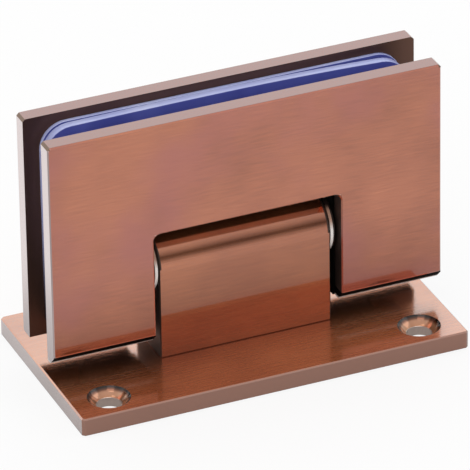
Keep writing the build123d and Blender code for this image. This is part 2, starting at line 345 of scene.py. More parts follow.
def stretched(tree, place, sizes):
    """Coordinates in which noise of size 1 has lumps of these three sizes."""
    return add(tree, "ShaderNodeMapping", inputs={
        "Vector": place, "Scale": [1 / size for size in sizes]}).outputs[0]


def bumped(tree, strength, depth, height, over=None):
    """Normals tilted by a height, on top of other normals where they are given."""
    inputs = {"Strength": strength, "Distance": depth, "Height": height}
    if over:
        inputs["Normal"] = over
    return add(tree, "ShaderNodeBump", inputs=inputs).outputs[0]


def give_surface(tree, colour, gloss, normal):
    """Links a colour, a roughness and a normal to the shader."""
    for socket, source in (("Base Color", colour), ("Roughness", gloss), ("Normal", normal)):
        tree.links.new(source, tree.nodes["Principled BSDF"].inputs[socket])


def in_box(tree, axes, spans):
    """1 inside a box in object space, 0 outside. spans gives low and high ends for some axes."""
    inside = 1.0
    for axis, (low_end, high_end) in spans.items():
        hit = sum_of(tree, "COMPARE", axes[axis], (low_end + high_end) / 2, (high_end - low_end) / 2)
        inside = sum_of(tree, "MULTIPLY", hit, inside)
    return inside


def brushed_bronze(name, zones, tones=(bronze_deep, bronze_light), blush_share=0.0,
                   roughness=(0.12, 0.20), grain_tilt=0.3, lacquer_ior=2.0, lacquer_roughness=0.04):
    """Lacquered bronze with lines along X. A zone is a box, its colour, roughness and lacquer."""
    material, tree, shader, place, axes = start_finish(name)
    lines = noise(tree, stretched(tree, place, (line_length, line_spacing, line_spacing)), 1.0, 4.0, 0.65)
    stains = noise(tree, place, stain_size, 2.0)
    clouds = noise(tree, place, cloud_size, 3.0)
    tone = sum_of(
        tree, "ADD", spread(tree, lines, *line_range, 0.0, line_share),
        spread(tree, stains, *stain_range, 0.0, stain_share))
    blush = spread(tree, clouds, *cloud_range, 0.0, blush_share, "SMOOTHSTEP")
    colour = blend(tree, blush, blend(tree, tone, *tones), bronze_blush)
    gloss = spread(tree, lines, *line_range, *roughness)
    lacquer = 1.0
    for spans, zone_colour, zone_roughness, zone_lacquer in zones:
        mask = in_box(tree, axes, spans)
        colour = blend(tree, mask, colour, zone_colour)
        gloss = between(tree, mask, gloss, zone_roughness)
        lacquer = between(tree, mask, lacquer, zone_lacquer)
    tilt = bumped(tree, sum_of(tree, "MULTIPLY", lacquer, grain_tilt), line_depth, lines)
    give_surface(tree, colour, gloss, tilt)
    shader.inputs["Metallic"].default_value = metal_share
    tree.links.new(lacquer, shader.inputs["Coat Weight"])
    shader.inputs["Coat IOR"].default_value = lacquer_ior
    shader.inputs["Coat Roughness"].default_value = lacquer_roughness
    return material


def wear(node_name, material):
    """Gives a CAD node its finish."""
    nodes[node_name].data.materials.clear()
    nodes[node_name].data.materials.append(material)


def side_zones(node, finish, roughness, lacquer=1.0):
    """The two narrow ends of a flat node and the small bevels beside them, but not its faces."""
    low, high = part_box(node)
    flat = min("YZ", key=lambda axis: getattr(high - low, axis.lower()))
    thick = (getattr(low, flat.lower()) + skin_margin, getattr(high, flat.lower()) - skin_margin)
    return [({"X": (end - edge_break, end + edge_break), flat: thick}, finish, roughness, lacquer)
            for end in (low.x, high.x)]


edge_break = 0.62 * MM
skin_margin = 0.03 * MM
skin_roughness = 0.5
bare_roughness = 0.9
edge_roughness = 0.10
inner_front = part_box("front_clamp_plate")[1].y
inner_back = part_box("gasket_rear_thin")[1].y
print("cast faces start", [round(level / MM, 2) for level in (inner_front, inner_back)], "mm from the middle")

# %% [markdown]
# ## Plates and block
#
# One bronze covers both clamp plates and the block, but a buffing wheel never reaches the
# inner faces, the notch, the foot or the lugs. Loose faces with their own materials would
# cut the castings up. Zones that are a hair wider than the face they are meant for pick it
# out instead. Some zones carry painted light and shade. The undersides, the front plate's
# foot bevel and the lugs in front of the back plate are painted near black, a painted
# shade. The roof of the notch is painted a pale cream, a painted light for the block's top
# to mirror, and the narrow ends of the plates are painted pale, a painted highlight. The
# front plate's bevelled foot ends in a pale line and the back plate's lower rear edge in a
# near-white strip, both painted highlights, and the block meets the wall plate in a fine
# dark joint.

# %% Plates and block
far = 100 * MM
notch_half = 21.75 * MM
notch_top = 35.6 * MM
foot_bevel = 2.2 * MM
painted_highlight_height = 0.45 * MM
arris_width = 0.7 * MM
joint_height = 0.22 * MM
corner_roughness, corner_lacquer = 0.3, 0.25
painted_light_roof, corner_tone, painted_highlight_tone = linear("#F4E4DA"), linear("#7A5A48"), linear("#E0D8D4")
inner_tone, arris_painted_highlight, joint_tone = linear("#74564A"), linear("#F4F0EE"), linear("#6A3422")
plate_low, plate_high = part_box("front_clamp_plate")
back_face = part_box("back_clamp_plate")[1].y


def near(level):
    """The two sides of a face that lies at this level."""
    return level - skin_margin, level + skin_margin


shared_zones = [
    ({"Z": near(plate_high.z)}, top_edge, edge_roughness, 1.0),
    # Plate undersides: painted shade, near black.
    ({"Z": near(plate_low.z)}, painted_shade_black, bare_roughness, 0.0),
    # Notch roof: painted light, pale cream so that the block's top mirrors a bright band.
    ({"X": (-notch_half, notch_half), "Z": near(notch_top)}, painted_light_roof, bare_roughness, 1.0),
    ({"X": near(-notch_half), "Z": (0.0, notch_top)}, cast_skin, skin_roughness, 0.0),
    ({"X": near(notch_half), "Z": (0.0, notch_top)}, cast_skin, skin_roughness, 0.0)]
corner_zones = [
    ({"X": (end - edge_break, end + edge_break), "Z": (plate_high.z - edge_break, far)},
     corner_tone, corner_roughness, corner_lacquer) for end in (plate_low.x, plate_high.x)]
# The narrow side ends are painted pale, a painted highlight.
front_zones = side_zones("front_clamp_plate", painted_highlight_side_edge, edge_roughness) + corner_zones + shared_zones + [
    ({"Y": (inner_front - skin_margin, far)}, cast_skin, skin_roughness, 0.0),
    # Front plate's foot bevel: painted shade, near black.
    ({"X": (plate_low.x + skin_margin, plate_high.x - skin_margin),
      "Z": (0.0, plate_low.z + foot_bevel + skin_margin)}, painted_shade_black, bare_roughness, 0.0),
    # Pale line low on the foot bevel: a painted highlight.
    ({"Y": (-far, inner_front), "Z": (plate_low.z + skin_margin, plate_low.z + painted_highlight_height)},
     painted_highlight_tone, bare_roughness, 0.0)]
back_zones = side_zones("back_clamp_plate", painted_highlight_side_edge, edge_roughness) + corner_zones + shared_zones + [
    ({"Y": (-far, inner_back + skin_margin)}, inner_tone, 0.4, 0.0),
    # Lugs in front of the back plate's inner face: painted shade, near black.
    ({"Y": (-far, inner_back - skin_margin)}, painted_shade_black, bare_roughness, 0.0),
    # Back plate's lower rear edge: a painted highlight, near white.
    ({"Y": (back_face - arris_width, far), "Z": near(plate_low.z)}, arris_painted_highlight, edge_roughness, 1.0)]
block_zones = side_zones("pivot_block", cast_skin, skin_roughness, 0.0) + [
    ({"Z": (foot_high.z - skin_margin, foot_high.z + joint_height)}, joint_tone, 0.35, 0.3)]
wear("front_clamp_plate", brushed_bronze("brushed_bronze_front_plate", front_zones, blush_share=0.6))
wear("back_clamp_plate", brushed_bronze("brushed_bronze_back_plate", back_zones, blush_share=0.6))
wear("pivot_block", brushed_bronze("brushed_bronze_block", block_zones, tones=brown_tones))
print("zones:", len(front_zones), "on the front plate,", len(back_zones), "on the back plate")

# %% [markdown]
# ## The wall plate and its countersinks
#
# The wall plate is browner, more coarsely brushed and thicker in its lacquer than the
# clamp, and its front half is less worn: there more of it answers as brown pigment and
# less as mirror. Its two narrow ends are painted pale, a painted highlight, and its front
# edge is painted greyer and darker, a painted shade. Each screw hole is cut by a turning
# cone, which leaves a bright, slightly hollow cone with fine rings round it. The bare wall
# below it is painted pale, a painted light from the white table under the hole, and the
# upper rim of the cone is painted dark brown to near black, a painted shade. The cones
# could be pieces of their own. They are faces of the plate, so one material holds both
# finishes: the distance to the nearest hole, folded into one quarter of the plate, tells
# them apart.

# %% Wall plate
hole_place = Vector((36.25, 17.25)) * MM
sink_edge = 4.72 * MM
wall_end, cone_start = 2.9 * MM, 3.1 * MM
shade_from, shade_to = 2.5 * MM, 5.0 * MM
# The first stops paint the bare hole wall pale, a painted light from the table under the hole; the last stops
# paint the cone's upper rim dark brown to near black, a painted shade.
hole_painted_stops = (
    (0.0, "#D2C4BC"), (0.13, "#C8B6AC"), (0.16, "#BE8460"),
    (0.50, "#CC9270"), (0.64, "#7A462C"), (0.78, "#2A160E"))
ring_spacing, ring_depth = 0.25 * MM, 0.004 * MM
hollow_middle, hollow_depth = 3.75 * MM, 0.21
brown_end, mirror_start = -18 * MM, -3 * MM
brown_share, mirror_share = 0.56, 0.94
brushed_end, buffed_start, buffed_share = -11 * MM, -4 * MM, 0.3
bevel_drop = 0.33 * MM
thin_lacquer = 0.25
foot_zones = [
    # The wall plate's two narrow ends are painted pale: a painted highlight.
    ({"X": (end - edge_break, end + edge_break), "Z": (0.0, foot_high.z - bevel_drop)},
     linear("#DCC8C4"), edge_roughness, 1.0) for end in (foot_low.x, foot_high.x)] + [
    # The wall plate's front edge is painted greyer and darker: painted shade.
    ({"Y": (foot_low.y - edge_break, foot_low.y + edge_break), "Z": (0.0, foot_high.z - skin_margin)},
     linear("#A87058"), 0.3, 0.8),
    ({"Z": near(0.0)}, cast_skin, skin_roughness, 0.0)]
plate_metal = brushed_bronze(
    "brushed_bronze_wall_plate", foot_zones, tones=brown_tones, roughness=(0.22, 0.34),
    grain_tilt=1.6, lacquer_ior=2.5, lacquer_roughness=0.12)
tree = plate_metal.node_tree
shader = tree.nodes["Principled BSDF"]
face_colour, face_gloss, face_lacquer, face_normal = (
    shader.inputs[socket].links[0].from_socket
    for socket in ("Base Color", "Roughness", "Coat Weight", "Normal"))
axes = split(tree, add(tree, "ShaderNodeTexCoord").outputs["Object"])
across = [sum_of(tree, "SUBTRACT", sum_of(tree, "ABSOLUTE", axes[i]), hole_place[i]) for i in (0, 1)]
from_hole = length_of(tree, joined(tree, *across))
in_sink = sum_of(tree, "LESS_THAN", from_hole, sink_edge)
rings = sum_of(tree, "SINE", sum_of(tree, "MULTIPLY", from_hole, 2 * math.pi / ring_spacing))
metal = spread(tree, axes["Y"], brown_end, mirror_start, brown_share, mirror_share, "SMOOTHSTEP")
tree.links.new(metal, shader.inputs["Metallic"])
cone_lacquer = spread(tree, from_hole, wall_end, cone_start, 0.0, thin_lacquer)
tree.links.new(between(tree, in_sink, face_lacquer, cone_lacquer), shader.inputs["Coat Weight"])
hole_painted_colours = add(tree, "ShaderNodeValToRGB", inputs={0: spread(tree, from_hole, shade_from, shade_to)})
set_stops(hole_painted_colours, [(reach, linear(code)) for reach, code in hole_painted_stops])
polish = spread(tree, axes["Y"], brushed_end, buffed_start, 1.0, buffed_share, "SMOOTHSTEP")
cone_gloss = spread(tree, rings, -1.0, 1.0, 0.04, 0.08)
off_middle = sum_of(tree, "DIVIDE", sum_of(tree, "SUBTRACT", from_hole, hollow_middle), MM)
off_squared = sum_of(tree, "POWER", sum_of(tree, "ABSOLUTE", off_middle), 2.0)
bowl = sum_of(tree, "MULTIPLY", off_squared, hollow_depth)
cone_normal = bumped(tree, 0.5, ring_depth, rings, over=bumped(tree, 1.0, MM, bowl))
normal = add(tree, "ShaderNodeMix", {"data_type": "VECTOR"}, {
    0: in_sink, 4: face_normal, 5: cone_normal}).outputs[1]
give_surface(
    tree, blend(tree, in_sink, face_colour, hole_painted_colours.outputs[0]),
    between(tree, in_sink, sum_of(tree, "MULTIPLY", face_gloss, polish), cone_gloss), normal)
wear("wall_plate", plate_metal)
print("countersinks", round(2 * sink_edge / MM, 1), "mm wide")

# %% [markdown]
# ## Screws and pin metals
#
# The screws are turned steel with the same bronze plating, darker in their marks. The
# pin is ground steel and the springs are drawn wire. All of them are lathe or drawing
# work, so the marks are finer than on the plates: even on a screw, round the pin, and
# along the wire of a spring. One recipe with three colours and grains makes them.

# %% Turned and drawn metals
mark_range = (0.3, 0.7)
mark_depth = 0.005 * MM


def turned_metal(name, light, dark, grain, roughness):
    """Bare or plated metal whose fine marks follow the grain, a size for each axis."""
    material, tree, shader, place, _ = start_finish(name)
    marks = noise(tree, stretched(tree, place, grain), 1.0, 3.0, 0.6)
    give_surface(
        tree, blend(tree, marks, dark, light), spread(tree, marks, *mark_range, *roughness),
        bumped(tree, 0.3, mark_depth, marks))
    shader.inputs["Metallic"].default_value = 1.0
    return material


even_marks = [0.4 * MM, 0.4 * MM, 0.4 * MM]
round_marks = [0.15 * MM, 1.5 * MM, 1.5 * MM]
wire_marks = [0.8 * MM, 0.8 * MM, 0.3 * MM]
plated_screw = turned_metal(
    "bronze_plated_steel", linear("#A8705A"), linear("#6E4536"), even_marks, (0.18, 0.32))
ground_steel = turned_metal(
    "ground_steel_pin", linear("#C6C8CA"), linear("#A9ABAE"), round_marks, (0.12, 0.22))
spring_wire = turned_metal(
    "drawn_spring_wire", linear("#9EA0A2"), linear("#6F7173"), wire_marks, (0.22, 0.36))
wear("pivot_pin", ground_steel)
wear("detent_plunger", ground_steel)
print("metals:", plated_screw.name, ground_steel.name, spring_wire.name)

# %% [markdown]
# ## Turned plastics
#
# The thrust washers are white nylon and the bushings are acetal, both turned from rod, so
# they are smooth with faint clouds and a soft sheen. Only a washer's rim next to the block
# keeps the white; the rest of it, towards the lug, is painted near black, a painted shade,
# and a mask along its axis tells the two apart. Its upper half is painted in the warm tone
# of the bronze over it, a painted reflection, and its crown is painted dark, a painted
# shade of the notch.

# %% Washers and bushings
grain_range = (0.3, 0.7)
grain_size, grain_depth, cloud_lump = 0.5 * MM, 0.01 * MM, 4 * MM
gloss_swing = 0.06
bright_rim_width = 0.62 * MM
pin_radius = 3.5 * MM
warm_start, warm_full, warm_share = 0.5 * MM, 3.5 * MM, 0.85
crown_start, crown_full = 4.8 * MM, 5.8 * MM


def turned_plastic(name, light, dark, roughness):
    """Opaque smooth plastic with a fine grain and faint clouds."""
    material, tree, shader, place, _ = start_finish(name)
    fine = noise(tree, place, grain_size, 3.0)
    cloudy = noise(tree, place, cloud_lump, 2.0)
    give_surface(
        tree, blend(tree, cloudy, dark, light),
        spread(tree, fine, *grain_range, roughness - gloss_swing, roughness + gloss_swing),
        bumped(tree, 0.2, grain_depth, fine))
    shader.inputs["IOR"].default_value = 1.53
    return material


nylon = turned_plastic("natural_nylon", linear("#FFF9F4"), linear("#F6EEE8"), 0.20)
acetal = turned_plastic("white_acetal", linear("#ECEAE2"), linear("#DEDBD2"), 0.25)
tree = nylon.node_tree
axes = split(tree, add(tree, "ShaderNodeTexCoord").outputs["Object"])
shade = tree.nodes["Principled BSDF"].inputs["Base Color"]
axis_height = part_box("pivot_pin")[1].z - pin_radius
# Beyond a narrow rim next to the block, the washer is painted near black: painted shade.
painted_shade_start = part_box("thrust_washer_right")[0].x + bright_rim_width
painted_shade_mask = sum_of(tree, "GREATER_THAN", sum_of(tree, "ABSOLUTE", axes["X"]), painted_shade_start)
# The upper half is painted in the warm bronze tone: a painted reflection.
painted_reflection_share = spread(
    tree, axes["Z"], axis_height + warm_start, axis_height + warm_full, 0.0, warm_share, "SMOOTHSTEP")
# The crown is painted dark: painted shade of the notch.
top_painted_shade = spread(tree, axes["Z"], axis_height + crown_start, axis_height + crown_full, curve="SMOOTHSTEP")
painted_bronze_reflection = blend(tree, painted_reflection_share, shade.links[0].from_socket, linear("#A86E4A"))
nylon_painted_light_and_shade = blend(tree, sum_of(tree, "MAXIMUM", painted_shade_mask, top_painted_shade), painted_bronze_reflection, linear("#2A201D"))
tree.links.new(nylon_painted_light_and_shade, shade)
for side in ("left", "right"):
    wear(f"thrust_washer_{side}", nylon)
    wear(f"bushing_{side}", acetal)
print("plastics:", nylon.name, acetal.name)

# %% [markdown]
# ## Clear blue vinyl
#
# The sheets that keep the glass off the metal are clear soft vinyl. It could be glassy all
# through, but stacked in a dark slot such sheets look deep blue in the face. Their cut
# edges are painted a pale lavender blue, a painted highlight for the light that runs along
# a sheet and comes out there. An attribute that the sheets store tells cut edges from
# faces. The colour is also painted to sink to near black towards the foot, a painted
# shade of the slot.

# %% Vinyl
shade_low, shade_high = 14 * MM, 44 * MM
vinyl, tree, shader, place, axes = start_finish("clear_blue_vinyl")
grain = noise(tree, place, 1.2 * MM, 3.0)
cloudy = noise(tree, place, 9 * MM, 2.0)
face_tint = blend(tree, cloudy, linear("#4A50A4"), linear("#7078CC"))
# Pale lavender on the cut edges: a painted highlight.
edge_painted_highlight = blend(tree, cloudy, linear("#A3ABEA"), linear("#D3D8FA"))
cut_edge = add(tree, "ShaderNodeAttribute", {"attribute_name": "cut_edge"}).outputs["Fac"]
# Darker towards the foot: painted shade of the slot.
painted_lit_share = spread(tree, axes["Z"], shade_low, shade_high, curve="SMOOTHSTEP")
give_surface(
    tree, blend(tree, painted_lit_share, linear("#1C1622"), blend(tree, cut_edge, face_tint, edge_painted_highlight)),
    spread(tree, grain, *grain_range, 0.10, 0.24), bumped(tree, 0.25, 0.03 * MM, grain))
shader.inputs["IOR"].default_value = 1.52
shader.inputs["Transmission Weight"].default_value = 0.2
print("vinyl:", vinyl.name, "dark below", shade_low / MM, "mm")

# %% [markdown]
# ## Growing pieces from trees
#
# Screws, springs and sheets are each a geometry tree with named sizes. A piece could keep
# its tree live, but a plain mesh reads the same in a picture, an export and a simulation.
# So a few tools make a tree, end it, run it with its sizes, keep the mesh and hand it to
# its body. One more bends a sheet, for the one that lies loose.

# %% Tree tools
def new_tree(name, sizes, whole=()):
    """A geometry tree with named size inputs. Returns the tree, its inputs and its output node."""
    tree = bpy.data.node_groups.new(name, "GeometryNodeTree")
    for label, kind in [(n, "NodeSocketFloat") for n in sizes] + list(whole):
        tree.interface.new_socket(label, in_out="INPUT", socket_type=kind)
    tree.interface.new_socket("Geometry", in_out="OUTPUT", socket_type="NodeSocketGeometry")
    given = add(tree, "NodeGroupInput").outputs
    return tree, given, add(tree, "NodeGroupOutput")


def close_tree(tree, geometry, material, output):
    """Realize Instances and Set Material, the two last steps of every tree."""
    real = add(tree, "GeometryNodeRealizeInstances", inputs={"Geometry": geometry}).outputs[0]
    done = add(tree, "GeometryNodeSetMaterial", inputs={"Geometry": real, "Material": material}).outputs[0]
    tree.links.new(done, output.inputs[0])


def grow(name, tree, sizes, body, stands_for, sharp_angle=35.0, soft_edge=None, bow=None):
    """Runs a tree with these sizes and keeps the result as a plain mesh that rides on a body."""
    seed = bpy.data.objects.new(name + "_seed", bpy.data.meshes.new(name + "_seed"))
    bpy.context.scene.collection.objects.link(seed)
    growth = seed.modifiers.new("growth", "NODES")
    growth.node_group = tree
    for item in tree.interface.items_tree:
        if item.in_out == "INPUT":
            growth[item.identifier] = sizes[item.name]
    if soft_edge:
        bevel = seed.modifiers.new("soft_edge", "BEVEL")
        bevel.width = soft_edge
        bevel.segments = 3
        bevel.limit_method = "ANGLE"
    bpy.context.view_layer.update()
    mesh = bpy.data.meshes.new_from_object(seed.evaluated_get(bpy.context.evaluated_depsgraph_get()))
    mesh.name = name
    piece = bpy.data.objects.new(name, mesh)
    bpy.context.scene.collection.objects.link(piece)
    bpy.data.objects.remove(seed)
    if bow:
        bow_forward(mesh, *bow)
    mesh.shade_smooth()
    mesh.set_sharp_from_angle(angle=math.radians(sharp_angle))
    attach(piece, body)
    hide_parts(*stands_for)
    tangled = sum(1 for e in edge_uses(mesh) if e != 2)
    print(name, "from", [round(min(v.co[i] for v in mesh.vertices) / MM, 2) for i in range(3)])
    print(name, len(mesh.polygons), "faces, edges not shared by two faces:", tangled)
    return piece


def bow_forward(mesh, left_lift, right_lift, strips=20):
    """Bends a flat sheet: its middle stays and its two ends come forward by these amounts."""
    shape = bmesh.new()
    shape.from_mesh(mesh)
    reach = max(v.co.x for v in shape.verts)
    for i in range(1, strips):
        bmesh.ops.bisect_plane(
            shape, geom=shape.verts[:] + shape.edges[:] + shape.faces[:],
            plane_co=(reach * (2 * i / strips - 1), 0, 0), plane_no=(1, 0, 0))
    for v in shape.verts:
        v.co.y -= (left_lift if v.co.x < 0 else right_lift) * (v.co.x / reach) ** 2
    shape.to_mesh(mesh)
    shape.free()


def edge_uses(mesh):
    """How many faces each edge of a mesh has."""
    shape = bmesh.new()
    shape.from_mesh(mesh)
    counts = [len(e.link_faces) for e in shape.edges]
    shape.free()
    return counts


weld = 0.001 * MM
print("tools for trees are ready, points closer than", weld / MM, "mm are welded")

# %% [markdown]
# ## A tree for screws
#
# Every screw here is one closed skin turned about an axis: down into the hexagon socket,
# out over the head, down the cone and along a thread to the tip. It could be a boolean of
# cones, cylinders and a hexagon, which leaves long thin faces. Geometry Nodes can roll up
# a flat grid instead: each column is an angle, each row is a step along that profile, and
# on the shank the rows slope with the pitch, so the crest is one true helix. Sizes are
# named inputs, and the same tree makes long screws, short ones and headless ones.
# The grid rolls up inside out, so its faces are flipped at the end.

# %% Screw tree
round_columns = 48
rows_per_turn = 4
head_rows = 7
least_cone = 0.15 * MM
tip = 0.5 * MM
edge = 0.10 * MM
mouth_share, mouth_depth = 0.62, 0.15 * MM
drill_point = 0.3 * MM
screw_tree, given, made = new_tree("turned_screw", (
    "Head Radius", "Shank Radius", "Length", "Pitch", "Thread Depth", "Socket Width", "Socket Depth",
    "Spacing", "Centre X", "Centre Y", "Centre Z", "Turn About X"))
t = screw_tree
head, shank, length, pitch = (given[n] for n in ("Head Radius", "Shank Radius", "Length", "Pitch"))
cone = sum_of(t, "MAXIMUM", sum_of(t, "SUBTRACT", head, shank), least_cone)
threaded = sum_of(t, "SUBTRACT", sum_of(t, "SUBTRACT", length, cone), tip)
turns = sum_of(t, "ADD", sum_of(t, "CEIL", sum_of(t, "DIVIDE", threaded, pitch)), 1.0)
thread_rows = sum_of(t, "MULTIPLY", turns, float(rows_per_turn))
row_count = sum_of(t, "ADD", thread_rows, float(head_rows + 3))
sheet = add(t, "GeometryNodeMeshGrid", inputs={
    "Size X": 1.0, "Size Y": 1.0, "Vertices X": round_columns + 1, "Vertices Y": row_count})
flat = split(t, add(t, "GeometryNodeInputPosition").outputs[0])
share = sum_of(t, "ADD", flat["X"], 0.5)
row_share = sum_of(t, "ADD", flat["Y"], 0.5)
row = sum_of(t, "ROUND", sum_of(t, "MULTIPLY", row_share, sum_of(t, "SUBTRACT", row_count, 1.0)))
angle = sum_of(t, "MULTIPLY", share, 2 * math.pi)
sixth = math.pi / 3
in_sixth = sum_of(t, "SUBTRACT", sum_of(t, "MODULO", sum_of(t, "ADD", angle, 1e-4), sixth), sixth / 2)
half_socket = sum_of(t, "MULTIPLY", given["Socket Width"], 0.5)
hexagon = sum_of(t, "DIVIDE", half_socket, sum_of(t, "COSINE", in_sixth))
mouth = sum_of(t, "MULTIPLY", given["Socket Width"], mouth_share)
along = sum_of(t, "SUBTRACT", row, float(head_rows))
climb = sum_of(t, "SUBTRACT", sum_of(t, "ADD", sum_of(t, "DIVIDE", along, float(rows_per_turn)), share), 1.0)
depth = sum_of(t, "MINIMUM", sum_of(t, "MAXIMUM", sum_of(t, "MULTIPLY", climb, pitch), 0.0), threaded)
to_end = sum_of(t, "MINIMUM", depth, sum_of(t, "SUBTRACT", threaded, depth))
fade = sum_of(t, "MINIMUM", sum_of(t, "DIVIDE", to_end, sum_of(t, "MULTIPLY", pitch, 0.5)), 1.0)
wave = sum_of(t, "PINGPONG", along, rows_per_turn / 2)
groove = sum_of(t, "MULTIPLY", sum_of(t, "DIVIDE", wave, rows_per_turn / 2), given["Thread Depth"])
thread = sum_of(t, "SUBTRACT", shank, sum_of(t, "MULTIPLY", groove, fade))
past = sum_of(t, "MAXIMUM", sum_of(t, "SUBTRACT", along, thread_rows), 0.0)
step = sum_of(t, "ADD", sum_of(t, "MINIMUM", row, float(head_rows)), past)
radius = add(t, "GeometryNodeIndexSwitch", {"data_type": "FLOAT"})
height = add(t, "GeometryNodeIndexSwitch", {"data_type": "FLOAT"})
socket_floor = sum_of(t, "MULTIPLY", given["Socket Depth"], -1.0)
thread_height = sum_of(t, "MULTIPLY", sum_of(t, "ADD", cone, depth), -1.0)
profile = (
    (0.0, sum_of(t, "SUBTRACT", socket_floor, drill_point)),
    (hexagon, socket_floor),
    (hexagon, -mouth_depth),
    (mouth, 0.0),
    (sum_of(t, "SUBTRACT", head, 2 * edge), 0.0),
    (sum_of(t, "SUBTRACT", head, edge), -edge),
    (shank, sum_of(t, "MULTIPLY", cone, -1.0)),
    (thread, thread_height),
    (sum_of(t, "SUBTRACT", shank, tip), sum_of(t, "MULTIPLY", length, -1.0)),
    (0.0, sum_of(t, "MULTIPLY", length, -1.0)),
)
for switch, values in ((radius, [p[0] for p in profile]), (height, [p[1] for p in profile])):
    while len(switch.index_switch_items) < len(profile):
        switch.index_switch_items.new()
    t.links.new(step, switch.inputs["Index"])
    for i, value in enumerate(values):
        if isinstance(value, float):
            switch.inputs[i + 1].default_value = value
        else:
            t.links.new(value, switch.inputs[i + 1])
rolled = joined(
    t, sum_of(t, "MULTIPLY", radius.outputs[0], sum_of(t, "COSINE", angle)),
    sum_of(t, "MULTIPLY", radius.outputs[0], sum_of(t, "SINE", angle)), height.outputs[0])
skin = add(t, "GeometryNodeSetPosition", inputs={
    "Geometry": sheet.outputs["Mesh"], "Position": rolled}).outputs[0]
closed = add(t, "GeometryNodeMergeByDistance", inputs={"Geometry": skin, "Distance": weld}).outputs[0]
outward = add(t, "GeometryNodeFlipFaces", inputs={"Mesh": closed}).outputs[0]
turn = add(t, "FunctionNodeEulerToRotation", inputs={0: joined(t, given["Turn About X"])}).outputs[0]
turned = add(t, "GeometryNodeTransform", inputs={"Geometry": outward, "Rotation": turn}).outputs[0]
first = sum_of(t, "SUBTRACT", given["Centre X"], sum_of(t, "MULTIPLY", given["Spacing"], 0.5))
pair = add(t, "GeometryNodeMeshLine", {"mode": "OFFSET"}, {
    "Count": 2, "Start Location": joined(t, first, given["Centre Y"], given["Centre Z"]),
    "Offset": joined(t, given["Spacing"])})
placed = add(t, "GeometryNodeInstanceOnPoints", inputs={"Points": pair.outputs[0], "Instance": turned})
close_tree(t, placed.outputs[0], plated_screw, made)
print("screw tree:", len(t.nodes), "nodes")

# %% [markdown]
# ## Screws in their places
#
# Three pairs use that tree: countersunk screws from behind the wall plate into the block,
# the same kind from the back plate into the front plate, and small headless screws that
# hold the pin in its lugs. Their places could be typed in. The boxes of the CAD screws
# already hold them, so place, length and spacing are read from those.

# %% Screws in their places
def middle(first_node, second_node):
    """Middle of a left and right pair of nodes, and the distance between them."""
    low_a, high_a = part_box(first_node)
    low_b, high_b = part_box(second_node)
    return (low_a + high_b) / 2, ((low_b + high_b) - (low_a + high_a)).x / 2


screw_thread = {
    "Pitch": 0.8 * MM, "Thread Depth": 0.42 * MM, "Shank Radius": 2.5 * MM, "Socket Depth": 2.0 * MM}
long_head = {"Head Radius": 4.6 * MM, "Socket Width": 3.0 * MM}
no_head = {"Head Radius": 2.5 * MM, "Socket Width": 2.5 * MM}
for name, node, body, turn, head_at, extra in (
    ("threaded_block_screws", "block_screw", "wall_side", math.pi, "low z", long_head),
    ("threaded_clamp_screws", "clamp_screw", "glass_clamp", -math.pi / 2, "high y", long_head),
    ("threaded_grub_screws", "pin_grub_screw", "glass_clamp", math.pi, "low z", no_head),
):
    pair_nodes = (f"{node}_left", f"{node}_right")
    centre, spacing = middle(*pair_nodes)
    low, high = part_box(pair_nodes[0])
    span = high - low
    sizes = {**screw_thread, **extra, "Spacing": spacing, "Centre X": centre.x, "Turn About X": turn}
    if head_at == "low z":
        sizes.update({"Length": span.z, "Centre Y": centre.y, "Centre Z": low.z})
    else:
        sizes.update({"Length": span.y, "Centre Y": high.y, "Centre Z": centre.z})
    grow(name, screw_tree, sizes, body, pair_nodes, sharp_angle=28)

# %% [markdown]
# ## Detent springs
#
# Two short compression springs push the plunger up against the pin, so the clamp clicks at
# its middle and at right angles. A spring could be a curve with a bevel, bent by hand at
# its ends. In Geometry Nodes the height of the wire is a rule instead: the first and last
# turns lie closed, the turns between share what is left, and the ends are ground flat by
# holding every point between the two faces that the spring stands on.

# %% Spring tree
points_per_turn = 24
ground_share = 0.2
spring_tree, given, made = new_tree("ground_spring", (
    "Wire Radius", "Coil Radius", "Turns", "Bottom", "Top", "Spacing"))
t = spring_tree
wire, turns = given["Wire Radius"], given["Turns"]
count = sum_of(t, "ADD", sum_of(t, "MULTIPLY", turns, float(points_per_turn)), 1.0)
route = add(t, "GeometryNodeMeshToCurve", inputs={
    0: add(t, "GeometryNodeMeshLine", {"mode": "OFFSET"}, {
        "Count": count, "Offset": (0, 0, 1 * MM)}).outputs[0]}).outputs[0]
turned_by = sum_of(t, "DIVIDE", add(t, "GeometryNodeInputIndex").outputs[0], float(points_per_turn))
angle = sum_of(t, "MULTIPLY", turned_by, 2 * math.pi)
wire_width = sum_of(t, "MULTIPLY", wire, 2.0)
standing = sum_of(t, "SUBTRACT", given["Top"], given["Bottom"])
free = sum_of(t, "SUBTRACT", standing, sum_of(t, "MULTIPLY", wire, 4 + 2 * ground_share))
first_turn = sum_of(t, "MINIMUM", turned_by, 1.0)
all_but_one = sum_of(t, "SUBTRACT", turns, 1.0)
last_turn = sum_of(t, "MAXIMUM", sum_of(t, "SUBTRACT", turned_by, all_but_one), 0.0)
middle_turns = spread(t, turned_by, 1.0, all_but_one, 0.0, free)
closed_part = sum_of(t, "MULTIPLY", sum_of(t, "ADD", first_turn, last_turn), wire_width)
wound = sum_of(t, "ADD", closed_part, middle_turns)
rise = sum_of(t, "ADD", wound, sum_of(t, "MULTIPLY", wire, ground_share))
helix = joined(
    t, sum_of(t, "MULTIPLY", given["Coil Radius"], sum_of(t, "COSINE", angle)),
    sum_of(t, "MULTIPLY", given["Coil Radius"], sum_of(t, "SINE", angle)),
    sum_of(t, "ADD", given["Bottom"], rise))
coil = add(t, "GeometryNodeSetPosition", inputs={0: route, "Position": helix}).outputs[0]
